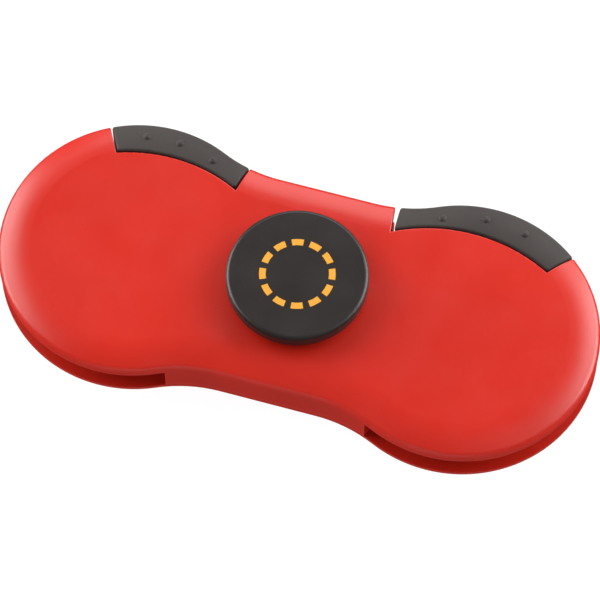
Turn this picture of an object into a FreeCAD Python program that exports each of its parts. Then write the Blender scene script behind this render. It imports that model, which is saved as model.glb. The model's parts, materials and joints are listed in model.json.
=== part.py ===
import FreeCAD, Part
import math
import os
import re

import Sketcher
from FreeCAD import Vector

# A two-lobed pocket spinner with a tool folded into each lobe.
#
# Frame: the origin is the centre of the bearing, halfway through the
# thickness.  X runs from lobe to lobe, +Y points to the side that the two
# grips are on and +Z up through the top cap, along the axis of the spin.
#
# The caps, the sleeve and the inner race are held between finger and thumb.
# The shells turn round them on a ball bearing, and each lobe carries an arm
# that swings out sideways about a pin beside the grip's inner end.

DIMENSIONS = [
    # alias, value in millimetres or degrees, what it measures
    ("lobe_offset", 28.1, "bearing centre to lobe centre"),
    ("lobe_radius", 22.9, "outline radius of a lobe"),
    ("waist_half", 18.58, "half the width across the straight waist"),
    ("hollow_radius", 25.0, "hollow curve from the waist into a lobe"),
    ("body_half", 5.15, "half the thickness of the closed shells"),
    ("slot_half", 2.5, "half the height of the slot round a lobe"),
    ("lip_height", 0.5, "upright lip of a shell above its slot"),
    ("crown_width", 5.4, "how far the rounded edge reaches inwards"),
    ("edge_round", 1.3, "radius of the tight part of the rounded edge"),
    ("seam_height", 2.0, "height of the shells' seam, below the middle"),
    ("wall", 2.0, "thickness of the waist walls"),
    ("front_wall_reach", 17.0, "half the length of the front waist wall"),
    ("rear_wall_reach", 4.4, "half the length of the rear waist wall"),
    ("seat_radius", 11.0, "bearing seat, outer race radius"),
    ("seat_half", 3.5, "half the bearing width"),
    ("boss_radius", 12.6, "outside of the bearing boss"),
    ("mouth_radius", 9.6, "opening in each shell under the cap"),
    ("bore_radius", 4.0, "bearing bore"),
    ("inner_shoulder", 5.7, "outside radius of the inner race"),
    ("outer_shoulder", 9.2, "inside radius of the outer race"),
    ("ball_pitch", 7.45, "radius of the ball circle"),
    ("ball_radius", 1.98, "ball"),
    ("groove_radius", 2.05, "raceway groove"),
    ("ball_count", 7, "balls"),
    ("cage_inner", 6.6, "inside radius of the ball cage"),
    ("cage_outer", 8.3, "outside radius of the ball cage"),
    ("cage_floor", 2.8, "depth of the cage's closed side below the middle"),
    ("cage_rim", 0.7, "height of the cage's open side above the middle"),
    ("pocket_radius", 2.1, "ball pocket in the cage"),
    ("shield_thick", 0.3, "bearing shield"),
    ("shield_inner", 6.1, "inside radius of a shield"),
    ("shield_outer", 9.9, "outside radius of a shield"),
    ("shield_top", 3.4, "outer face of a shield, from the middle"),
    ("cap_radius", 11.8, "finger cap"),
    ("cap_top", 9.2, "outer face of a cap, from the middle"),
    ("cap_under", 6.7, "underside of a cap's rim, from the middle"),
    ("cap_round", 0.7, "rounded outer edge of a cap"),
    ("cap_under_round", 0.3, "rounded inner edge of a cap"),
    ("cap_foot", 5.4, "radius of the foot that stands on the inner race"),
    ("stud_radius", 2.0, "stud of a cap, screwed into the sleeve"),
    ("stud_tip", 0.4, "end of a stud, from the middle"),
    ("pivot_across", 7.0, "arm pivot, sideways from the bearing centre"),
    ("pivot_back", 16.6, "arm pivot, towards the grips"),
    ("pin_radius", 1.0, "pivot pin"),
    ("pin_half", 3.6, "half the length of a pivot pin"),
    ("eye_bore", 1.05, "hole in an arm's eye"),
    ("eye_radius", 1.9, "outside of an arm's eye"),
    ("arm_half", 2.2, "half the thickness of an arm"),
    ("washer_low", 2.25, "inner face of a pivot washer, from the middle"),
    ("washer_high", 2.45, "outer face of a pivot washer, from the middle"),
    ("ring_across", 30.4, "lens centre, sideways from the bearing centre"),
    ("ring_front", 0.6, "lens centre, towards the front"),
    ("ring_radius", 16.5, "outside of the lens ring"),
    ("lens_radius", 15.0, "lens and mirror"),
    ("lens_edge_half", 0.8, "half the thickness of a lens at its edge"),
    ("lens_bulge", 1.1, "how far each lens face bulges"),
    ("lens_seat", 1.0, "lens shoulder and retainer, from the middle"),
    ("mirror_seat", 0.6, "floor under the mirror, below the middle"),
    ("window_radius", 14.0, "clear opening of the lens ring"),
    ("retainer_face", 2.0, "outer face of a retaining ring, from the middle"),
    ("grip_inner", 17.45, "lobe radius of a grip's inner far corner"),
    ("tongue_outer", 21.2, "lobe radius of the arm's edge inside the grip"),
    ("grip_gap", 0.25, "gap between a grip and its cut-out"),
    ("grip_round", 0.45, "rounded edges of a grip"),
    ("cutout_round", 0.2, "rounded edges of a grip's cut-out"),
    ("nub_radius", 0.8, "sphere of a grip's nub"),
    ("nub_top", 5.35, "top of a nub, from the middle"),
    ("nub_circle", 19.9, "lobe radius of the nubs"),
    ("boss_across", 13.2, "front screws, sideways from the bearing centre"),
    ("boss_front", 13.6, "front screws, towards the front"),
    ("rear_screw_back", 15.35, "rear screw, towards the grips"),
    ("screw_boss", 2.2, "outside of a screw boss"),
    ("screw_core", 0.8, "thread radius of a case screw"),
    ("screw_shank_hole", 1.1, "clearance hole in the lower shell"),
    ("screw_head", 1.8, "head of a case screw"),
    ("screw_head_hole", 2.0, "counterbore for a screw head"),
    ("screw_head_top", 4.7, "face of a screw head, below the middle"),
    ("screw_seat", 3.6, "underside of a screw head, below the middle"),
    ("screw_tip", 2.6, "end of a case screw, above the middle"),
    ("recess_long", 2.0, "cross recess of a screw, tip to tip"),
    ("recess_wide", 0.5, "width of the cross recess"),
    ("recess_deep", 0.6, "depth of the cross recess"),
]

SIZE = {alias: value for alias, value, note in DIMENSIONS}

# How far a cut runs out past the material it takes away.
OVERRUN = 1.0

# The grips differ: the magnifier's is longer and reaches nearer to its pivot.
# far_angle is where a grip's outer end stands on its lobe.  The crest is the
# point of its inner edge that is furthest back.  The heel is its other end:
# how far sideways its outer corner is, and where its inner corner is, sideways
# and towards the back.  The relief is the same for the cut-out.
GRIPS = {
    "right": {
        "side": 1,
        "far_angle": 50.5,
        "crest": (26.4, 16.95),
        "heel_outer": 12.6,
        "heel_inner": (12.75, 13.9),
        "relief_outer": 11.6,
        "relief_inner": (12.3, 13.45),
        "nub_angles": (114.0, 93.0, 73.0),
    },
    "left": {
        "side": -1,
        "far_angle": 63.1,
        "crest": (26.4, 17.07),
        "heel_outer": 13.8,
        "heel_inner": (15.0, 14.25),
        "relief_outer": 13.4,
        "relief_inner": (14.65, 13.85),
        "nub_angles": (114.0, 95.5, 79.0),
    },
}

# Case screws: sideways and backwards from the bearing centre, as signs and sizes.
SCREW_PLACES = [
    ((1, "boss_across"), (-1, "boss_front")),
    ((-1, "boss_across"), (-1, "boss_front")),
    ((1, "0"), (1, "rear_screw_back")),
]

doc = FreeCAD.newDocument("spinner")
PIECES = []


def make_sheet():
    """Put the driving dimensions in a spreadsheet, one alias to a row."""
    sheet = doc.addObject("Spreadsheet::Sheet", "Sizes")
    for row, (alias, value, note) in enumerate(DIMENSIONS, start=1):
        sheet.set(f"A{row}", note)
        sheet.set(f"B{row}", str(value))
        sheet.setAlias(f"B{row}", alias)
    doc.recompute()


def sized(text):
    """Turn the aliases in an expression into references to the sheet."""
    return re.sub(r"[a-z_]+", lambda word: f"Sizes.{word[0]}" if word[0] in SIZE else word[0],
                  text)


def worth(text):
    """The value of an expression in the aliases, from the sheet's numbers."""
    terms = text.split()
    total = 0.0
    sign = 1.0
    for term in terms:
        if term == "+":
            sign = 1.0
        elif term == "-":
            sign = -1.0
        else:
            total += sign * (SIZE[term] if term in SIZE else float(term))
    return total


def keep(piece, label):
    """Name a finished sub-part and list it for writing."""
    piece.Label = label
    PIECES.append(piece)
    return piece


# --- sketches ------------------------------------------------------------

def new_body(label):
    return keep(doc.addObject("PartDesign::Body", label), label)


def origin_plane(body, role):
    for feature in body.Origin.OriginFeatures:
        if feature.Role == role:
            return feature
    raise ValueError(role)


def new_sketch(body, name, height="0", role="XY_Plane"):
    """A sketch on one of the body's own planes, raised along its normal."""
    sketch = body.newObject("Sketcher::SketchObject", f"{body.Name}_{name}")
    sketch.AttachmentSupport = [(origin_plane(body, role), "")]
    sketch.MapMode = "FlatFace"
    sketch.setExpression("AttachmentOffset.Base.z", sized(height))
    return sketch


def bind(sketch, constraint, expression):
    """Add a constraint and let the sheet drive it."""
    index = sketch.addConstraint(constraint)
    sketch.setExpression(f"Constraints[{index}]", sized(expression))


def place_centre(sketch, curve, across, back):
    """Tie a circle's centre to the origin by distances from the sheet.

    across and back are (sign, expression); an expression of 0 pins it."""
    for kind, (sign, expression) in (("DistanceX", across), ("DistanceY", back)):
        value = worth(expression)
        if value == 0:
            sketch.addConstraint(Sketcher.Constraint(
                "PointOnObject", curve, 3, -2 if kind == "DistanceX" else -1))
        elif sign > 0:
            bind(sketch, Sketcher.Constraint(kind, -1, 1, curve, 3, value), expression)
        else:
            bind(sketch, Sketcher.Constraint(kind, curve, 3, -1, 1, value), expression)


def circle(sketch, radius, across=(1, "0"), back=(1, "0")):
    """A circle whose radius and centre follow the sheet."""
    x = across[0] * worth(across[1])
    y = back[0] * worth(back[1])
    curve = sketch.addGeometry(Part.Circle(Vector(x, y, 0), Vector(0, 0, 1), worth(radius)))
    bind(sketch, Sketcher.Constraint("Radius", curve, worth(radius)), radius)
    place_centre(sketch, curve, across, back)
    return curve


def closed_profile(sketch, edges):
    """Add edges that already meet end to end, and join them.

    A sketch holds every arc anticlockwise, so the ends of a clockwise arc
    change places and each end is found by where it is."""
    tails = []
    heads = []
    for edge in edges:
        curve = sketch.addGeometry(edge)
        forward = sketch.getPoint(curve, 1).distanceToPoint(edge.StartPoint) < 1e-6
        tails.append((curve, 2 if forward else 1))
        heads.append((curve, 1 if forward else 2))
    for step, tail in enumerate(tails):
        head = heads[(step + 1) % len(heads)]
        sketch.addConstraint(Sketcher.Constraint("Coincident", *tail, *head))


def pad(body, sketch, name, length, reverse=False):
    feature = body.newObject("PartDesign::Pad", f"{body.Name}_{name}")
    feature.Profile = sketch
    feature.setExpression("Length", sized(length))
    feature.Reversed = reverse
    sketch.Visibility = False
    return feature


def pocket(body, sketch, name, length, reverse=False):
    """Cut a sketch out of the body, and fail loudly if nothing was cut."""
    doc.recompute()
    before = body.Shape.Volume
    feature = body.newObject("PartDesign::Pocket", f"{body.Name}_{name}")
    feature.Profile = sketch
    feature.setExpression("Length", sized(length))
    feature.Reversed = reverse
    doc.recompute()
    if not body.Shape.Volume < before - 1e-6:
        raise RuntimeError(f"{feature.Name} cuts nothing")
    return feature


def section_edges(path):
    """Lines and arcs through a closed path of (radius, height) corners.

    A corner written ("via", radius, height) is the middle of an arc."""
    edges = []
    step = 0
    while step < len(path):
        start = Vector(*path[step], 0)
        following = path[(step + 1) % len(path)]
        if following[0] == "via":
            end = Vector(*path[(step + 2) % len(path)], 0)
            edges.append(Part.Arc(start, Vector(*following[1:], 0), end))
            step += 2
        else:
            edges.append(Part.LineSegment(start, Vector(*following, 0)))
            step += 1
    return edges


def revolved(label, path):
    """A body turned about Z from a half section."""
    body = new_body(label)
    sketch = new_sketch(body, "Section", role="XZ_Plane")
    closed_profile(sketch, section_edges(path))
    feature = body.newObject("PartDesign::Revolution", f"{label}_Turned")
    feature.Profile = sketch
    feature.ReferenceAxis = (sketch, ["V_Axis"])
    feature.Angle = 360
    doc.recompute()
    return body


def round_edges(body, name, radius, wanted):
    """Fillet the edges of the body's latest feature that wanted() picks."""
    base = body.Tip
    names = [f"Edge{number}" for number, edge in enumerate(base.Shape.Edges, start=1)
             if wanted(edge)]
    if not names:
        raise RuntimeError(f"{body.Label} has no edge for {name}")
    fillet = body.newObject("PartDesign::Fillet", f"{body.Name}_{name}")
    fillet.Base = (base, names)
    fillet.setExpression("Radius", sized(radius))
    doc.recompute()


def circle_at(edge, radius, height):
    """Whether an edge is a full circle of this radius at this height."""
    return (isinstance(edge.Curve, Part.Circle) and abs(edge.Curve.Radius - radius) < 1e-6
            and abs(edge.Curve.Center.z - height) < 1e-6)


def is_upright(edge):
    """Whether an edge runs straight up."""
    rise = edge.Vertexes[-1].Point - edge.Vertexes[0].Point
    return abs(rise.z) > 1e-6 and math.hypot(rise.x, rise.y) < 1e-6


def upright_over(edge, corners):
    """Whether an edge runs straight up from one of a plan's corners."""
    foot = edge.Vertexes[0].Point
    return is_upright(edge) and any(math.hypot(foot.x - corner.x, foot.y - corner.y) < 1e-6
                                    for corner in corners)


def rim_over(edge, plan):
    """Whether an edge bounds a face, above or below one of a plan's lines."""
    lip = SIZE["slot_half"] + SIZE["lip_height"]
    middle = edge.valueAt((edge.FirstParameter + edge.LastParameter) / 2)
    spot = Part.Vertex(middle.x, middle.y, 0)
    return (not is_upright(edge) and abs(middle.z) > lip + 0.1
            and any(line.toShape().distToShape(spot)[0] < 1e-3 for line in plan))


# --- outlines ------------------------------------------------------------

X_AXIS = Vector(1, 0, 0)
Y_AXIS = Vector(0, 1, 0)


def hollow_centre():
    """Centre of the hollow curve behind the right half of the waist."""
    lobe = SIZE["lobe_radius"] + SIZE["hollow_radius"]
    depth = SIZE["waist_half"] + SIZE["hollow_radius"]
    return Vector(SIZE["lobe_offset"] - math.sqrt(lobe ** 2 - depth ** 2), depth, 0)


def flank_angle():
    """Angle about the right lobe's centre where its edge turns hollow."""
    centre = hollow_centre()
    return math.degrees(math.atan2(centre.y, centre.x - SIZE["lobe_offset"]))


def arc_about(centre, radius, start, end):
    """Arc about a centre, from one angle to another in degrees."""
    middle = (start + end) / 2
    ends = []
    for angle in (start, middle, end):
        turn = math.radians(angle)
        ends.append(centre + Vector(radius * math.cos(turn), radius * math.sin(turn), 0))
    return Part.Arc(*ends)


def turn_over(edges, axis):
    """Flip flat edges over to the other side of an axis through the origin."""
    for edge in edges:
        edge.mirror(Vector(0, 0, 0), axis)


def backwards(edges):
    """The same run of edges, drawn from its other end."""
    turned = []
    for edge in reversed(edges):
        if isinstance(edge, Part.LineSegment):
            turned.append(Part.LineSegment(edge.EndPoint, edge.StartPoint))
        else:
            middle = edge.value((edge.FirstParameter + edge.LastParameter) / 2)
            turned.append(Part.Arc(edge.EndPoint, middle, edge.StartPoint))
    return turned


def outline_quarter(*axes):
    """A lobe's quarter and its hollow, turned over each of the axes."""
    flank = flank_angle()
    lobe = Vector(SIZE["lobe_offset"], 0, 0)
    edges = [
        arc_about(lobe, SIZE["lobe_radius"], 0, flank),
        arc_about(hollow_centre(), SIZE["hollow_radius"], flank - 180, -90),
    ]
    for axis in axes:
        turn_over(edges, axis)
    return edges


def body_outline():
    """The shells' outline, anticlockwise from the right-hand end."""
    across = hollow_centre().x
    back = SIZE["waist_half"]
    rear = Part.LineSegment(Vector(across, back, 0), Vector(-across, back, 0))
    front = Part.LineSegment(Vector(-across, -back, 0), Vector(across, -back, 0))
    return (outline_quarter() + [rear] + backwards(outline_quarter(Y_AXIS))
            + outline_quarter(X_AXIS, Y_AXIS) + [front] + backwards(outline_quarter(X_AXIS)))


def waist_back(across):
    """How far back the outline stands at a distance from the middle."""
    centre = hollow_centre()
    beyond = max(across - centre.x, 0)
    return centre.y - math.sqrt(SIZE["hollow_radius"] ** 2 - beyond ** 2)


def waist_edge(reach, inset):
    """The rear waist's edge from left to right, moved in by a distance."""
    centre = hollow_centre()
    across = min(reach, centre.x)
    back = SIZE["waist_half"] - inset
    edges = [Part.LineSegment(Vector(-across, back, 0), Vector(across, back, 0))]
    if reach > centre.x:
        radius = SIZE["hollow_radius"] + inset
        swing = math.degrees(math.asin((reach - centre.x) / SIZE["hollow_radius"]))
        left = Vector(-centre.x, centre.y, 0)
        edges.insert(0, arc_about(left, radius, -90 - swing, -90))
        edges.append(arc_about(centre, radius, -90, -90 + swing))
    return edges


def waist_wall(reach, side):
    """Profile of a waist wall that follows the outline, side +1 at the back."""
    outer = waist_edge(reach, 0)
    inner = backwards(waist_edge(reach, SIZE["wall"]))
    right_end = Part.LineSegment(outer[-1].EndPoint, inner[0].StartPoint)
    left_end = Part.LineSegment(inner[-1].EndPoint, outer[0].StartPoint)
    edges = outer + [right_end] + inner + [left_end]
    if side < 0:
        turn_over(edges, X_AXIS)
    return edges


def tangent_arc(start, heading, end):
    """Arc that leaves start along a heading and reaches end."""
    across = Vector(-heading.y, heading.x, 0).normalize()
    span = end - start
    radius = span.Length ** 2 / (2 * span.dot(across))
    centre = start + across * radius
    middle = centre + ((start + end) * 0.5 - centre).normalize() * abs(radius)
    return Part.Arc(start, middle, end)


def lobe_point(radius, angle):
    """A point of the right-hand lobe, by radius and angle about its centre."""
    turn = math.radians(angle)
    return Vector(SIZE["lobe_offset"] + radius * math.cos(turn), radius * math.sin(turn), 0)


def band_profile(side, far_angle, outer, inner, heel_outer, crest, heel_inner):
    """Plan of a band along a lobe's rear edge, from its far end to its heel.

    The outer edge follows the lobe, at a radius about its centre, and then the
    hollow.  The inner edge is one arc from the heel over the crest."""
    centre = Vector(SIZE["lobe_offset"], 0, 0)
    flank = flank_angle()
    heading = lobe_point(1, flank + 90) - centre
    lobe_edge = arc_about(centre, outer, far_angle, flank)
    hollow_edge = tangent_arc(lobe_point(outer, flank), heading, Vector(*heel_outer, 0))
    inner_edge = Part.Arc(Vector(*heel_inner, 0), Vector(*crest, 0),
                          lobe_point(inner, far_angle))
    edges = [
        lobe_edge,
        hollow_edge,
        Part.LineSegment(hollow_edge.EndPoint, inner_edge.StartPoint),
        inner_edge,
        Part.LineSegment(inner_edge.EndPoint, lobe_edge.StartPoint),
    ]
    if side < 0:
        turn_over(edges, Y_AXIS)
    return edges


def grip_plan(grip):
    """Plan of a grip, flush with the shells' outline."""
    across = grip["heel_outer"]
    return band_profile(grip["side"], grip["far_angle"], SIZE["lobe_radius"],
                        SIZE["grip_inner"], (across, waist_back(across)), grip["crest"],
                        grip["heel_inner"])


def cutout_plan(grip):
    """Plan of the cut-out for a grip, run out past the edge of the shell."""
    gap = SIZE["grip_gap"]
    far_angle = grip["far_angle"] - math.degrees(gap / SIZE["lobe_radius"])
    across = grip["relief_outer"]
    crest = (grip["crest"][0], grip["crest"][1] - gap)
    return band_profile(grip["side"], far_angle, SIZE["lobe_radius"] + OVERRUN,
                        SIZE["grip_inner"] - gap, (across, waist_back(across) + OVERRUN),
                        crest, grip["relief_inner"])


def tongue_plan(grip):
    """Plan of the arm's tongue: inside the grip, and inwards to the ring."""
    inset = SIZE["lobe_radius"] - SIZE["tongue_outer"]
    far_angle = grip["far_angle"] + math.degrees(inset / SIZE["grip_inner"])
    across = grip["heel_outer"] + inset
    crest = (grip["crest"][0], grip["crest"][1] - 2 * inset)
    heel = (grip["heel_inner"][0] + inset, grip["heel_inner"][1] - 2 * inset)
    return band_profile(grip["side"], far_angle, SIZE["tongue_outer"],
                        SIZE["grip_inner"] - 2 * inset, (across, waist_back(across) - inset),
                        crest, heel)


# --- shells --------------------------------------------------------------

def edge_cutter_section(sketch, up):
    """Section of the waste beyond the rounded edge, at the right-hand end.

    A tight arc rises from the lip and a wide one runs on into the flat top.
    The lower shell has the same section upside down."""
    reach = SIZE["lobe_offset"] + SIZE["lobe_radius"]
    top = SIZE["body_half"]
    lip = SIZE["slot_half"] + SIZE["lip_height"]
    rise = top - lip
    tight = SIZE["edge_round"]
    width = SIZE["crown_width"]
    wide = (width ** 2 + rise ** 2 - 2 * width * tight) / (2 * (rise - tight))
    tight_centre = Vector(reach - tight, lip, 0)
    wide_centre = Vector(reach - width, top - wide, 0)
    lean = math.degrees(math.atan2(tight_centre.y - wide_centre.y,
                                   tight_centre.x - wide_centre.x))
    rim = arc_about(tight_centre, tight, 0, lean)
    crown = arc_about(wide_centre, wide, lean, 90)
    above = Vector(reach - width, top + OVERRUN, 0)
    corner = Vector(reach + OVERRUN, top + OVERRUN, 0)
    beside = Vector(reach + OVERRUN, lip, 0)
    edges = [
        rim,
        crown,
        Part.LineSegment(crown.EndPoint, above),
        Part.LineSegment(above, corner),
        Part.LineSegment(corner, beside),
        Part.LineSegment(beside, rim.StartPoint),
    ]
    if not up:
        turn_over(edges, X_AXIS)
    closed_profile(sketch, edges)


def round_rim(body, up):
    """Cut the rounded edge all along the outline, on the top or the underside."""
    rim = new_sketch(body, "Rim", "slot_half" if up else "- slot_half")
    outline = body_outline()
    closed_profile(rim, outline)
    section = new_sketch(body, "EdgeSection", role="XZ_Plane")
    edge_cutter_section(section, up)
    doc.recompute()
    rounding = body.newObject("PartDesign::SubtractivePipe", f"{body.Name}_RoundedEdge")
    rounding.Profile = section
    rounding.Spine = (rim, [f"Edge{number}" for number in range(1, len(outline) + 1)])
    doc.recompute()


def make_shell(label, up):
    """One shell: a lobed plate with walls, bearing boss, bosses and holes.

    up is True for the upper shell, which carries the walls down to the seam,
    and False for the lower one, which meets it there."""
    body = new_body(label)
    face = "slot_half" if up else "- slot_half"
    outline = new_sketch(body, "Outline", face)
    closed_profile(outline, body_outline())
    pad(body, outline, "Plate", "body_half - slot_half", reverse=not up)

    round_rim(body, up)
    cutouts = []
    for grip in GRIPS.values():
        plan = new_sketch(body, "GripCutout", face)
        outline = cutout_plan(grip)
        closed_profile(plan, outline)
        pocket(body, plan, "GripCutout", "body_half", reverse=up)
        cutouts += outline
    round_edges(body, "CutoutEdges", "cutout_round", lambda edge: rim_over(edge, cutouts))

    seam = "slot_half + seam_height" if up else "slot_half - seam_height"
    walls = new_sketch(body, "Walls", face)
    closed_profile(walls, waist_wall(SIZE["front_wall_reach"], -1))
    closed_profile(walls, waist_wall(SIZE["rear_wall_reach"], 1))
    pad(body, walls, "Walls", seam, reverse=up)

    bosses = new_sketch(body, "Bosses", face)
    circle(bosses, "boss_radius")
    for across, back in SCREW_PLACES:
        circle(bosses, "screw_boss", across, back)
    pad(body, bosses, "Bosses", seam, reverse=up)

    seam_face = "- seam_height"
    seat = new_sketch(body, "BearingSeat", seam_face)
    circle(seat, "seat_radius")
    depth = "seat_half + seam_height" if up else "seat_half - seam_height"
    pocket(body, seat, "BearingSeat", depth, reverse=up)
    mouth = new_sketch(body, "Mouth", seam_face)
    circle(mouth, "mouth_radius")
    pocket(body, mouth, "Mouth", "body_half + body_half", reverse=up)

    pins = new_sketch(body, "PinHoles", face)
    for sign in (1, -1):
        circle(pins, "pin_radius", (sign, "pivot_across"), (1, "pivot_back"))
    pocket(body, pins, "PinHoles", "pin_half - slot_half", reverse=up)

    holes = new_sketch(body, "ScrewHoles", seam_face)
    radius = "screw_core" if up else "screw_shank_hole"
    depth = "screw_tip + seam_height" if up else "body_half"
    for across, back in SCREW_PLACES:
        circle(holes, radius, across, back)
    pocket(body, holes, "ScrewHoles", depth, reverse=up)
    if not up:
        heads = new_sketch(body, "HeadHoles", "- screw_seat")
        for across, back in SCREW_PLACES:
            circle(heads, "screw_head_hole", across, back)
        pocket(body, heads, "HeadHoles", "body_half", reverse=False)
    return body


# --- hub and bearing -----------------------------------------------------

def cylinder(name, radius, low, high, across="0", back="0"):
    """An upright cylinder between two heights, driven by the sheet."""
    solid = doc.addObject("Part::Cylinder", name)
    solid.setExpression("Radius", sized(radius))
    solid.setExpression("Height", sized(f"{high} - ({low})"))
    solid.setExpression("Placement.Base.x", sized(across))
    solid.setExpression("Placement.Base.y", sized(back))
    solid.setExpression("Placement.Base.z", sized(low))
    return solid


def tube(name, outer, inner, low, high, across="0", back="0"):
    """A plain ring between two heights."""
    ring = doc.addObject("Part::Cut", name)
    ring.Base = cylinder(f"{name}_outside", outer, low, high, across, back)
    ring.Tool = cylinder(f"{name}_inside", inner, low, high, across, back)
    return ring


def group(name, solids):
    """Several like solids under one name."""
    compound = doc.addObject("Part::Compound", name)
    compound.Links = solids
    return compound


def make_cap(label, up):
    """A finger cap: a rounded disc, a foot on the inner race and a stud."""
    sign = 1 if up else -1
    corners = [
        (0, "stud_tip"),
        ("stud_radius", "stud_tip"),
        ("stud_radius", "seat_half"),
        ("cap_foot", "seat_half"),
        ("cap_foot", "cap_under"),
        ("cap_radius", "cap_under"),
        ("cap_radius", "cap_top"),
        (0, "cap_top"),
    ]
    body = revolved(label, [(SIZE.get(radius, 0), sign * SIZE[height])
                            for radius, height in corners])
    for name, height in (("cap_round", "cap_top"), ("cap_under_round", "cap_under")):
        round_edges(body, name, name,
                    lambda edge: circle_at(edge, SIZE["cap_radius"], sign * SIZE[height]))


def make_races():
    """Both races, each with a raceway groove at mid height."""
    half = SIZE["seat_half"]
    pitch = SIZE["ball_pitch"]
    groove = SIZE["groove_radius"]
    inner = SIZE["inner_shoulder"]
    outer = SIZE["outer_shoulder"]
    inner_mouth = math.sqrt(groove ** 2 - (pitch - inner) ** 2)
    outer_mouth = math.sqrt(groove ** 2 - (outer - pitch) ** 2)
    ledge = SIZE["shield_top"] - SIZE["shield_thick"]
    shield = SIZE["shield_outer"]
    revolved("bearing_inner_race", [
        (SIZE["bore_radius"], -half),
        (inner, -half),
        (inner, -inner_mouth),
        ("via", pitch - groove, 0),
        (inner, inner_mouth),
        (inner, half),
        (SIZE["bore_radius"], half),
    ])
    revolved("bearing_outer_race", [
        (SIZE["seat_radius"], -half),
        (SIZE["seat_radius"], half),
        (shield, half),
        (shield, ledge),
        (outer, ledge),
        (outer, outer_mouth),
        ("via", pitch + groove, 0),
        (outer, -outer_mouth),
        (outer, -ledge),
        (shield, -ledge),
        (shield, -half),
    ])


def ball_ring(name, radius):
    """Spheres of one radius, evenly round the ball circle."""
    spheres = []
    for number in range(SIZE["ball_count"]):
        ball = doc.addObject("Part::Sphere", f"{name}_{number + 1}")
        ball.setExpression("Radius", sized(radius))
        turn = f"{number} * 360 deg / ball_count"
        ball.setExpression("Placement.Base.x", sized(f"ball_pitch * cos({turn})"))
        ball.setExpression("Placement.Base.y", sized(f"ball_pitch * sin({turn})"))
        spheres.append(ball)
    return spheres


def make_cage():
    """A crown cage: a ring with a pocket for each ball, closed below."""
    ring = tube("cage_ring", "cage_outer", "cage_inner", "- cage_floor", "cage_rim")
    cage = doc.addObject("Part::Cut", "ball_cage")
    cage.Base = ring
    cage.Tool = group("cage_pockets", ball_ring("pocket", "pocket_radius"))
    keep(cage, "ball_cage")
    keep(group("bearing_balls", ball_ring("ball", "ball_radius")), "bearing_balls")


def make_hub():
    make_cap("top_cap", True)
    make_cap("bottom_cap", False)
    make_races()
    make_cage()
    keep(tube("hub_sleeve", "bore_radius", "stud_radius", "- seat_half", "seat_half"),
         "hub_sleeve")
    keep(tube("bearing_upper_shield", "shield_outer", "shield_inner",
              "shield_top - shield_thick", "shield_top"), "bearing_upper_shield")
    keep(tube("bearing_lower_shield", "shield_outer", "shield_inner",
              "- shield_top", "shield_thick - shield_top"), "bearing_lower_shield")


# --- fasteners and pivots ------------------------------------------------

def signed(sign, expression):
    return expression if sign > 0 else f"- {expression}"


def make_case_screws():
    """Cross-head screws up through the lower shell into the upper one."""
    screws = []
    for number, (across, back) in enumerate(SCREW_PLACES, start=1):
        place = (signed(*across), signed(*back))
        blank = doc.addObject("Part::Fuse", f"screw_{number}_blank")
        blank.Base = cylinder(f"screw_{number}_head", "screw_head", "- screw_head_top",
                              "- screw_seat", *place)
        blank.Tool = cylinder(f"screw_{number}_shank", "screw_core", "- screw_seat",
                              "screw_tip", *place)
        recess = blank
        for arm, (length, width) in enumerate((("recess_long", "recess_wide"),
                                               ("recess_wide", "recess_long")), start=1):
            slot = doc.addObject("Part::Box", f"screw_{number}_slot_{arm}")
            slot.setExpression("Length", sized(length))
            slot.setExpression("Width", sized(width))
            slot.setExpression("Height", sized("recess_deep"))
            slot.setExpression("Placement.Base.x", sized(f"{place[0]} - {length} / 2"))
            slot.setExpression("Placement.Base.y", sized(f"{place[1]} - {width} / 2"))
            slot.setExpression("Placement.Base.z", sized("- screw_head_top"))
            cut = doc.addObject("Part::Cut", f"screw_{number}_cut_{arm}")
            cut.Base = recess
            cut.Tool = slot
            recess = cut
        screws.append(recess)
    keep(group("case_screws", screws), "case_screws")


def make_pivot(name, sign):
    """The pin an arm turns on, with a washer on each side of its eye."""
    across = signed(sign, "pivot_across")
    keep(cylinder(f"{name}_pivot_pin", "pin_radius", "- pin_half", "pin_half",
                  across, "pivot_back"), f"{name}_pivot_pin")
    washers = [
        tube(f"{name}_upper_washer", "eye_radius", "eye_bore", "washer_low",
             "washer_high", across, "pivot_back"),
        tube(f"{name}_lower_washer", "eye_radius", "eye_bore", "- washer_high",
             "- washer_low", across, "pivot_back"),
    ]
    keep(group(f"{name}_pivot_washers", washers), f"{name}_pivot_washers")


# --- swing-out tools -----------------------------------------------------

def neck_profile(side):
    """Straight bar from the eye towards the ring, as wide as the eye."""
    pivot = Vector(SIZE["pivot_across"], SIZE["pivot_back"], 0)
    ring = Vector(SIZE["ring_across"], -SIZE["ring_front"], 0)
    along = (ring - pivot).normalize()
    across = Vector(-along.y, along.x, 0) * SIZE["eye_radius"]
    end = pivot + along * ((ring - pivot).Length - SIZE["window_radius"])
    corners = [pivot + across, pivot - across, end - across, end + across]
    if side < 0:
        corners = [Vector(-corner.x, corner.y, 0) for corner in corners]
    return [Part.LineSegment(corner, corners[(step + 1) % 4])
            for step, corner in enumerate(corners)]


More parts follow.
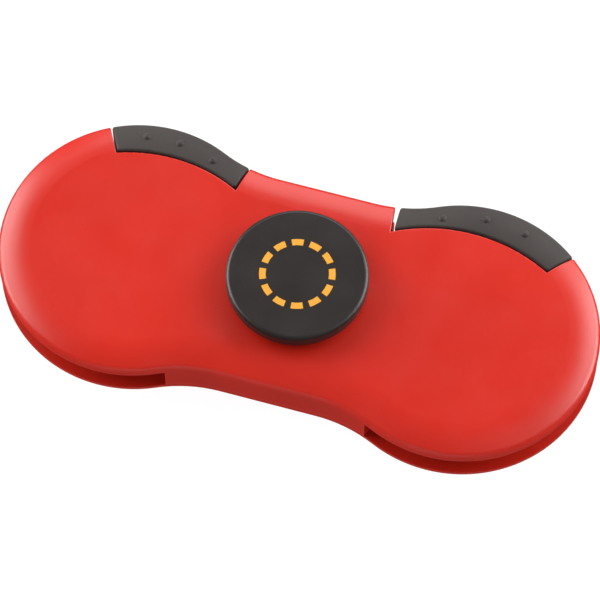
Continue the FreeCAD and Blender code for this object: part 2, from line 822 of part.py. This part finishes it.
def make_arm(label, grip, open_window):
    """An arm: an eye, a neck, a ring with a seat and a tongue for the grip."""
    side = grip["side"]
    body = new_body(label)
    ring_place = ((side, "ring_across"), (-1, "ring_front"))
    pivot_place = ((side, "pivot_across"), (1, "pivot_back"))
    plans = {
        "Ring": lambda sketch: circle(sketch, "ring_radius", *ring_place),
        "Eye": lambda sketch: circle(sketch, "eye_radius", *pivot_place),
        "Neck": lambda sketch: closed_profile(sketch, neck_profile(side)),
        "Tongue": lambda sketch: closed_profile(sketch, tongue_plan(grip)),
    }
    for name in ("Ring", "Neck", "Eye", "Tongue"):
        sketch = new_sketch(body, name, "- arm_half")
        plans[name](sketch)
        pad(body, sketch, name, "2 * arm_half")

    floor = "lens_seat" if open_window else "mirror_seat"
    seat = new_sketch(body, "Seat", f"- {floor}")
    circle(seat, "lens_radius", *ring_place)
    pocket(body, seat, "Seat", f"arm_half + {floor}", reverse=True)
    bores = new_sketch(body, "Bores", "arm_half")
    circle(bores, "eye_bore", *pivot_place)
    if open_window:
        circle(bores, "window_radius", *ring_place)
    pocket(body, bores, "Bores", "2 * arm_half")


def make_grip(label, grip):
    """A soft grip moulded round the tongue, with three nubs on each face."""
    body = new_body(label)
    plan = new_sketch(body, "Plan", "- body_half")
    outline = grip_plan(grip)
    closed_profile(plan, outline)
    pad(body, plan, "Block", "2 * body_half")
    doc.recompute()
    round_rim(body, True)
    round_rim(body, False)
    ends = [edge for edge in outline if isinstance(edge, Part.LineSegment)]
    corners = [edge.StartPoint for edge in ends] + [edge.EndPoint for edge in ends]
    round_edges(body, "Edges", "grip_round",
                lambda edge: upright_over(edge, corners) or rim_over(edge, outline))
    tongue = new_sketch(body, "Tongue", "- arm_half")
    closed_profile(tongue, tongue_plan(grip))
    pocket(body, tongue, "Tongue", "2 * arm_half", reverse=True)
    for angle in grip["nub_angles"]:
        for face in (1, -1):
            nub = body.newObject("PartDesign::AdditiveSphere", f"{label}_nub")
            nub.setExpression("Radius", sized("nub_radius"))
            across = f"lobe_offset + nub_circle * cos({angle} deg)"
            nub.setExpression("Placement.Base.x", sized(f"{grip['side']} * ({across})"))
            nub.setExpression("Placement.Base.y", sized(f"nub_circle * sin({angle} deg)"))
            nub.setExpression("Placement.Base.z", sized(f"{face} * (nub_top - nub_radius)"))
            doc.recompute()


def make_lens():
    """A magnifying lens, the same curve on both faces."""
    edge = SIZE["lens_edge_half"]
    crown = edge + SIZE["lens_bulge"]
    radius = SIZE["lens_radius"]
    bend = (radius ** 2 + SIZE["lens_bulge"] ** 2) / (2 * SIZE["lens_bulge"])
    half_way = radius / 2
    shoulder = crown - bend + math.sqrt(bend ** 2 - half_way ** 2)
    body = revolved("magnifier_lens", [
        (0, -crown),
        ("via", half_way, -shoulder),
        (radius, -edge),
        (radius, edge),
        ("via", half_way, shoulder),
        (0, crown),
    ])
    body.setExpression("Placement.Base.x", sized("ring_across"))
    body.setExpression("Placement.Base.y", sized("- ring_front"))


def make_tools():
    make_arm("magnifier_arm", GRIPS["right"], True)
    make_grip("magnifier_grip", GRIPS["right"])
    make_lens()
    keep(tube("lens_retainer", "lens_radius", "window_radius", "lens_seat",
              "retainer_face", "ring_across", "- ring_front"), "lens_retainer")
    make_arm("mirror_arm", GRIPS["left"], False)
    make_grip("mirror_grip", GRIPS["left"])
    keep(cylinder("mirror_disc", "lens_radius", "- mirror_seat", "lens_seat",
                  "- ring_across", "- ring_front"), "mirror_disc")
    keep(tube("mirror_retainer", "lens_radius", "window_radius", "lens_seat",
              "retainer_face", "- ring_across", "- ring_front"), "mirror_retainer")


# --- the whole object ----------------------------------------------------

def check_all():
    """Stop if any object failed or any piece is empty or broken."""
    for item in doc.Objects:
        if {"Invalid", "Error"} & set(item.State):
            raise RuntimeError(f"{item.Name} failed: {item.State}")
    for piece in PIECES:
        if piece.Shape.isNull() or not piece.Shape.isValid():
            raise RuntimeError(f"{piece.Label} has no valid shape")


def write_pieces():
    os.makedirs("parts", exist_ok=True)
    for piece in PIECES:
        piece.Shape.exportStep(f"parts/{piece.Label}.step")
        print(f"{piece.Label}: {len(piece.Shape.Solids)} solid(s), "
              f"{piece.Shape.Volume / 1000:.3f} cm3")


make_sheet()
make_hub()
make_shell("upper_shell", True)
make_shell("lower_shell", False)
make_case_screws()
make_pivot("right", 1)
make_pivot("left", -1)
make_tools()
doc.recompute()
check_all()
write_pieces()
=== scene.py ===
import json
import math

import bpy
from mathutils import Matrix, Vector


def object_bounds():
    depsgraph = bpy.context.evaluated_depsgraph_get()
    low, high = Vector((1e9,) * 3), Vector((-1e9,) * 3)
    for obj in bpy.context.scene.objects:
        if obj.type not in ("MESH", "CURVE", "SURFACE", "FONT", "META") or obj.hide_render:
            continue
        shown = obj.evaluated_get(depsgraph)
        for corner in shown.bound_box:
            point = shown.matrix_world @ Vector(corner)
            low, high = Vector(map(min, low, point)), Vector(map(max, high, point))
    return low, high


# Looks of a two-lobed pocket spinner: satin red shells, near-black finger
# caps, charcoal grips, and the steel, glass and mirror inside.

MM = 0.001
FLOOR_SIZE = 4.0

# The ring of dashes on the top cap.  Each dash fills its share of the turn from
# START to END.  Radii and heights are in millimetres from the part's centre.
DASHES = 12
DASH_START = 0.18
DASH_END = 0.82
RING_INNER = 5.2
RING_OUTER = 6.3
PRINT_LOW = 8.0
PRINT_HIGH = 8.5

# Camera: bearing and height angle in degrees, distance in metres, lens in mm.
CAMERA_AZIMUTH = 16.73
CAMERA_ELEVATION = 65.66
CAMERA_ROLL = -1.01
CAMERA_DISTANCE = 0.5811
CAMERA_LENS = 209.2
CAMERA_SHIFT = (0.0038, -0.0052)

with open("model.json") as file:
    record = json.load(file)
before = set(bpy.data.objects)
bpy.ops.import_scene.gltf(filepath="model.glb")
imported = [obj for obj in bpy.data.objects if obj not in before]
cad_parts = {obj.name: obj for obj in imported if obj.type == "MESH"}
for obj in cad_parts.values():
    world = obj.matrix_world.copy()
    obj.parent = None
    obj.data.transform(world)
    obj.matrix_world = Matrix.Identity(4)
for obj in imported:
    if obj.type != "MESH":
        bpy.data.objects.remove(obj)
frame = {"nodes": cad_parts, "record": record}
NODES = frame["nodes"]
CAD_LOW, CAD_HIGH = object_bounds()

scene = bpy.context.scene


# --- node helpers --------------------------------------------------------

class Shader:
    """A material's node tree, with short calls for the nodes it needs."""

    def __init__(self, name):
        self.material = bpy.data.materials.new(name)
        self.material.use_nodes = True
        self.tree = self.material.node_tree
        self.tree.nodes.clear()
        output = self.add("ShaderNodeOutputMaterial")
        self.surface = self.add("ShaderNodeBsdfPrincipled")
        self.link(self.surface.outputs[0], output.inputs["Surface"])
        self.place = self.add("ShaderNodeTexCoord").outputs["Object"]

    def add(self, kind, **settings):
        node = self.tree.nodes.new(kind)
        for key, value in settings.items():
            setattr(node, key, value)
        return node

    def link(self, source, target):
        self.tree.links.new(source, target)

    def feed(self, target, value):
        """Link a socket, or set a plain number or colour."""
        if isinstance(value, bpy.types.NodeSocket):
            self.link(value, target)
        else:
            target.default_value = value

    def math(self, operation, first, second=0.0):
        node = self.add("ShaderNodeMath", operation=operation)
        self.feed(node.inputs[0], first)
        self.feed(node.inputs[1], second)
        return node.outputs[0]

    def product(self, *factors):
        result = factors[0]
        for factor in factors[1:]:
            result = self.math("MULTIPLY", result, factor)
        return result

    def noise(self, size_mm, detail=3.0, roughness=0.5, place=None):
        """Noise whose features are about this many millimetres across."""
        node = self.add("ShaderNodeTexNoise")
        self.link(place or self.place, node.inputs["Vector"])
        node.inputs["Scale"].default_value = 1.0 / (size_mm * MM)
        node.inputs["Detail"].default_value = detail
        node.inputs["Roughness"].default_value = roughness
        return node.outputs["Fac"]

    def ramp(self, value, low, high, out_low=0.0, out_high=1.0):
        """Map low..high to out_low..out_high, held at both ends."""
        node = self.add("ShaderNodeMapRange", clamp=True)
        self.feed(node.inputs["Value"], value)
        node.inputs["From Min"].default_value = low
        node.inputs["From Max"].default_value = high
        node.inputs["To Min"].default_value = out_low
        node.inputs["To Max"].default_value = out_high
        return node.outputs["Result"]

    def mix(self, amount, first, second):
        """Mix two colours."""
        node = self.add("ShaderNodeMix", data_type="RGBA")
        self.feed(node.inputs["Factor"], amount)
        self.feed(node.inputs["A"], first)
        self.feed(node.inputs["B"], second)
        return node.outputs["Result"]

    def bump(self, layers):
        """Stack bumps: each layer is (height socket, distance in mm)."""
        normal = None
        for height, distance_mm in layers:
            node = self.add("ShaderNodeBump")
            node.inputs["Strength"].default_value = 1.0
            node.inputs["Distance"].default_value = distance_mm * MM
            self.link(height, node.inputs["Height"])
            if normal:
                self.link(normal, node.inputs["Normal"])
            normal = node.outputs["Normal"]
        self.link(normal, self.surface.inputs["Normal"])

    def edges(self, radius_mm):
        """1 along sharp edges and 0 on flats and smooth curves."""
        bevel = self.add("ShaderNodeBevel", samples=6)
        bevel.inputs["Radius"].default_value = radius_mm * MM
        geometry = self.add("ShaderNodeNewGeometry")
        dot = self.add("ShaderNodeVectorMath", operation="DOT_PRODUCT")
        self.link(bevel.outputs["Normal"], dot.inputs[0])
        self.link(geometry.outputs["Normal"], dot.inputs[1])
        return self.ramp(dot.outputs["Value"], 0.97, 0.75)

    def position(self):
        """The three object coordinates."""
        split = self.add("ShaderNodeSeparateXYZ")
        self.link(self.place, split.inputs[0])
        return tuple(split.outputs)

    def length(self, x, y):
        """Length of the flat vector (x, y)."""
        return self.math("SQRT", self.math("ADD", self.product(x, x), self.product(y, y)))

    def band(self, value, low, high, soft):
        """1 between low and high and 0 outside, with a soft edge."""
        rise = self.ramp(value, low - soft, low + soft)
        fall = self.ramp(value, high - soft, high + soft, 1.0, 0.0)
        return self.product(rise, fall)

    def set(self, **values):
        """Set the surface's own sockets, by name with spaces as underscores."""
        for key, value in values.items():
            self.feed(self.surface.inputs[key.replace("_", " ")], value)


def grey(value):
    return (value, value, value, 1.0)


# --- materials -----------------------------------------------------------

def moulded_plastic(name, base, shade, worn, roughness, grain_mm, grain_depth, gloss=0.5):
    """Satin moulded plastic: fine grain, faint flow marks and rubbed edges."""
    wear = 0.35
    speck_roughness = 0.04
    wave_depth = 0.03
    shader = Shader(name)
    flow = shader.ramp(shader.noise(18.0, detail=2.0), 0.35, 0.65)
    speck = shader.ramp(shader.noise(0.35, detail=2.0), 0.45, 0.75)
    edge = shader.edges(0.25)
    colour = shader.mix(flow, base, shade)
    colour = shader.mix(shader.product(edge, wear), colour, worn)
    smudge = shader.ramp(shader.noise(7.0, detail=5.0, roughness=0.6), 0.3, 0.7, -0.03, 0.04)
    rough = shader.math("ADD", smudge, roughness)
    rough = shader.math("ADD", rough, shader.product(speck, speck_roughness))
    shader.set(Base_Color=colour, Roughness=rough, Specular_IOR_Level=gloss)
    grain = shader.noise(grain_mm, detail=3.0, roughness=0.55)
    waves = shader.noise(9.0, detail=1.0)
    shader.bump([(waves, wave_depth), (grain, grain_depth)])
    return shader


def shell_material():
    red = (0.435, 0.0125, 0.0048, 1.0)
    deep = (0.405, 0.011, 0.0042, 1.0)
    worn = (0.80, 0.10, 0.08, 1.0)
    shader = moulded_plastic("shell_red", red, deep, worn, roughness=0.31, grain_mm=0.22,
                             grain_depth=0.006)
    return shader.material


def cap_material():
    """Near-black satin plastic; the top cap has a plain ring of gold dashes."""
    black = (0.011, 0.0085, 0.0075, 1.0)
    lifted = (0.014, 0.011, 0.010, 1.0)
    worn = (0.16, 0.15, 0.14, 1.0)
    gold = (0.58, 0.26, 0.028, 1.0)
    shader = moulded_plastic("cap_black", black, lifted, worn, roughness=0.36, grain_mm=0.30,
                             grain_depth=0.010, gloss=0.4)
    x, y, height = shader.position()
    turns = shader.product(shader.math("ARCTAN2", y, x), DASHES / (2 * math.pi))
    dash = shader.band(shader.math("FRACT", turns), DASH_START, DASH_END, 0.02)
    ring = shader.band(shader.length(x, y), RING_INNER * MM, RING_OUTER * MM, 0.03 * MM)
    face = shader.ramp(height, PRINT_LOW * MM, PRINT_HIGH * MM)
    plastic = shader.surface.inputs["Base Color"].links[0].from_socket
    shader.set(Base_Color=shader.mix(shader.product(dash, ring, face), plastic, gold))
    return shader.material


def grip_material():
    charcoal = (0.022, 0.0165, 0.0150, 1.0)
    dusty = (0.029, 0.0235, 0.0210, 1.0)
    worn = (0.15, 0.14, 0.13, 1.0)
    shader = moulded_plastic("grip_charcoal", charcoal, dusty, worn, roughness=0.58,
                             grain_mm=0.30, grain_depth=0.012, gloss=0.25)
    shader.set(Sheen_Weight=0.05, Sheen_Roughness=0.6)
    return shader.material


def frame_material():
    black = (0.022, 0.021, 0.020, 1.0)
    grey_black = (0.030, 0.029, 0.028, 1.0)
    worn = (0.12, 0.12, 0.12, 1.0)
    shader = moulded_plastic("arm_black", black, grey_black, worn, roughness=0.45,
                             grain_mm=0.25, grain_depth=0.008)
    return shader.material


def nylon_material(name, base):
    shader = moulded_plastic(name, base, base, grey(0.85), roughness=0.5, grain_mm=0.3,
                             grain_depth=0.006)
    shader.set(Subsurface_Weight=0.1, Subsurface_Scale=0.5 * MM)
    return shader.material


def turned_metal(name, base, roughness, across_mm=0.06):
    """Metal turned on a lathe: fine rings about the axis of the spin."""
    dulling = 0.8
    shader = Shader(name)
    x, y, height = shader.position()
    rings = shader.add("ShaderNodeCombineXYZ")
    shader.link(shader.length(x, y), rings.inputs[0])
    shader.link(height, rings.inputs[1])
    grooves = shader.noise(across_mm, detail=2.0, place=rings.outputs[0])
    stain = shader.ramp(shader.noise(2.5, detail=4.0), 0.4, 0.75)
    dull = tuple(channel * dulling for channel in base[:3]) + (1.0,)
    shader.set(Base_Color=shader.mix(stain, base, dull), Metallic=1.0,
               Roughness=shader.ramp(grooves, 0.3, 0.7, roughness - 0.05, roughness + 0.08))
    shader.bump([(grooves, 0.002)])
    return shader.material


def lens_material():
    shader = Shader("lens_clear")
    haze = shader.ramp(shader.noise(4.0, detail=5.0), 0.5, 0.8, 0.01, 0.035)
    shader.set(Base_Color=(0.97, 0.99, 0.985, 1.0), Transmission_Weight=1.0, IOR=1.49,
               Roughness=haze)
    return shader.material


def mirror_material():
    shader = Shader("mirror_silver")
    haze = shader.ramp(shader.noise(5.0, detail=5.0), 0.45, 0.8, 0.015, 0.05)
    tint = shader.mix(shader.ramp(shader.noise(9.0), 0.3, 0.7), grey(0.90), grey(0.86))
    shader.set(Base_Color=tint, Metallic=1.0, Roughness=haze)
    return shader.material


def floor_material():
    """A white table that glows evenly, as if lit from below."""
    shader = Shader("floor_pale")
    tone = shader.ramp(shader.noise(60.0, detail=3.0), 0.3, 0.7)
    shader.set(Base_Color=shader.mix(tone, grey(0.08), grey(0.10)), Roughness=0.8,
               Specular_IOR_Level=0.0, Emission_Color=grey(1.0), Emission_Strength=0.96)
    return shader.material


def dress_nodes():
    """Give every CAD node the material of its slot."""
    materials = {
        "shell": shell_material(),
        "cap": cap_material(),
        "grip": grip_material(),
        "frame": frame_material(),
        "lens": lens_material(),
        "mirror": mirror_material(),
        "race": turned_metal("race_steel", grey(0.56), 0.22),
        "ball": turned_metal("ball_steel", grey(0.72), 0.10, 0.5),
        "cage": nylon_material("cage_nylon", (0.70, 0.66, 0.55, 1.0)),
        "shield": turned_metal("shield_steel", grey(0.48), 0.30),
        "brass": turned_metal("sleeve_brass", (0.72, 0.50, 0.22, 1.0), 0.28),
        "fastener": turned_metal("zinc_steel", grey(0.50), 0.32, 0.12),
        "washer": nylon_material("washer_plastic", grey(0.72)),
    }
    for entry in frame["record"]["subparts"]:
        node = NODES[entry["node"]]
        node.data.materials.clear()
        node.data.materials.append(materials[entry["material_slot"]])


# --- floor, lights and camera --------------------------------------------

def make_floor():
    mesh = bpy.data.meshes.new("floor")
    half = FLOOR_SIZE / 2
    height = CAD_LOW.z
    corners = [(-half, -half, height), (half, -half, height), (half, half, height),
               (-half, half, height)]
    mesh.from_pydata(corners, [], [(0, 1, 2, 3)])
    floor = bpy.data.objects.new("floor", mesh)
    scene.collection.objects.link(floor)
    mesh.materials.append(floor_material())
    floor.visible_glossy = False


def direction(azimuth, elevation):
    """Unit vector towards a bearing: 0 is the front (-Y), 90 the right (+X)."""
    turn = math.radians(azimuth)
    rise = math.radians(elevation)
    return Vector((math.sin(turn) * math.cos(rise), -math.cos(turn) * math.cos(rise),
                   math.sin(rise)))


def add_softbox(name, azimuth, elevation, distance, size, watts, shines=True):
    """A rectangular lamp that faces the part; one that doesn't shine leaves no reflection."""
    width, height = size
    light = bpy.data.lights.new(name, "AREA")
    light.shape = "RECTANGLE"
    light.size = width
    light.size_y = height
    light.energy = watts
    lamp = bpy.data.objects.new(name, light)
    lamp.visible_glossy = shines
    towards = direction(azimuth, elevation)
    lamp.location = towards * distance
    lamp.rotation_euler = towards.to_track_quat("Z", "Y").to_euler()
    scene.collection.objects.link(lamp)


def make_world():
    """Soft grey all round, darker below the horizon."""
    dim, bright = 0.05, 0.14
    world = bpy.data.worlds.new("studio")
    world.use_nodes = True
    tree = world.node_tree
    split = tree.nodes.new("ShaderNodeSeparateXYZ")
    tree.links.new(tree.nodes.new("ShaderNodeTexCoord").outputs["Generated"], split.inputs[0])
    fade = tree.nodes.new("ShaderNodeMapRange")
    fade.inputs["From Min"].default_value = -0.1
    fade.inputs["From Max"].default_value = 0.6
    fade.inputs["To Min"].default_value = dim
    fade.inputs["To Max"].default_value = bright
    tree.links.new(split.outputs["Z"], fade.inputs["Value"])
    tree.links.new(fade.outputs["Result"], tree.nodes["Background"].inputs["Strength"])
    tree.nodes["Background"].inputs["Color"].default_value = grey(1.0)
    scene.world = world


def make_lights():
    """Large lamps low on both sides and behind light the rounded edges."""
    add_softbox("overhead", 80, 62, distance=0.60, size=(0.40, 0.40), watts=0.25)
    for side, azimuth in (("left", -98), ("right", 124)):
        add_softbox(f"{side}_low", azimuth, 22, distance=0.60, size=(0.55, 0.40), watts=5.6)
        add_softbox(f"{side}_high", azimuth, 48, distance=0.60, size=(0.55, 0.16), watts=0.9)
    add_softbox("rear", 186, 30, distance=0.70, size=(0.50, 0.45), watts=2.2)
    add_softbox("front_fill", 5, 20, distance=0.60, size=(0.50, 0.30), watts=1.6, shines=False)
    make_world()
    scene.view_settings.view_transform = "Standard"
    scene.view_settings.look = "None"


def make_camera():
    """A long lens, high above the front right, rolled by about a degree."""
    camera = bpy.data.cameras.new("camera")
    camera.sensor_width = 36.0
    camera.lens = CAMERA_LENS
    camera.shift_x, camera.shift_y = CAMERA_SHIFT
    camera.clip_start = 0.01
    camera.clip_end = 10.0
    rig = bpy.data.objects.new("camera", camera)
    back = direction(CAMERA_AZIMUTH, CAMERA_ELEVATION)
    rig.location = back * CAMERA_DISTANCE
    aim = (-back).to_track_quat("-Z", "Y").to_matrix()
    roll = Matrix.Rotation(math.radians(CAMERA_ROLL), 3, "Z")
    rig.rotation_euler = (aim @ roll).to_euler()
    scene.collection.objects.link(rig)
    scene.camera = rig


make_camera()
make_floor()
dress_nodes()
make_lights()
